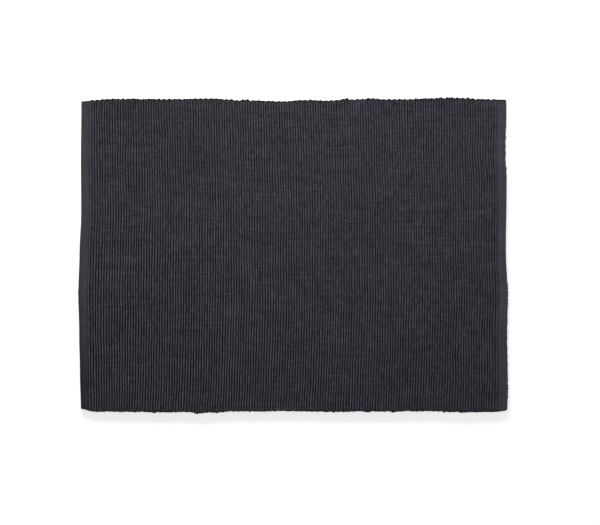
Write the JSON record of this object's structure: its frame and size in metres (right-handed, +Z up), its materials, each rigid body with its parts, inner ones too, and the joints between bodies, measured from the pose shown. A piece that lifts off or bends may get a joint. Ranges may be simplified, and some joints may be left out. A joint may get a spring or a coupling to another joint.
{
  "type": "fabric placemat",
  "caption": "Flat rectangular placemat of ribbed charcoal cotton, with woven long edges and a flat folded hem at each short end.",
  "frame": {"origin": "middle of the mat's outline, on the surface that it rests on", "axes": "+X along the long side, from the narrower hem to the wider one, +Y across the mat along its ribs, +Z up out of the face that shows"},
  "size_m": [0.4524, 0.3328, 0.0024],
  "materials": {
    "cotton": "matt ribbed weave"
  },
  "bodies": {
    "root": {"placemat": "cotton"}
  },
  "joints": []
}
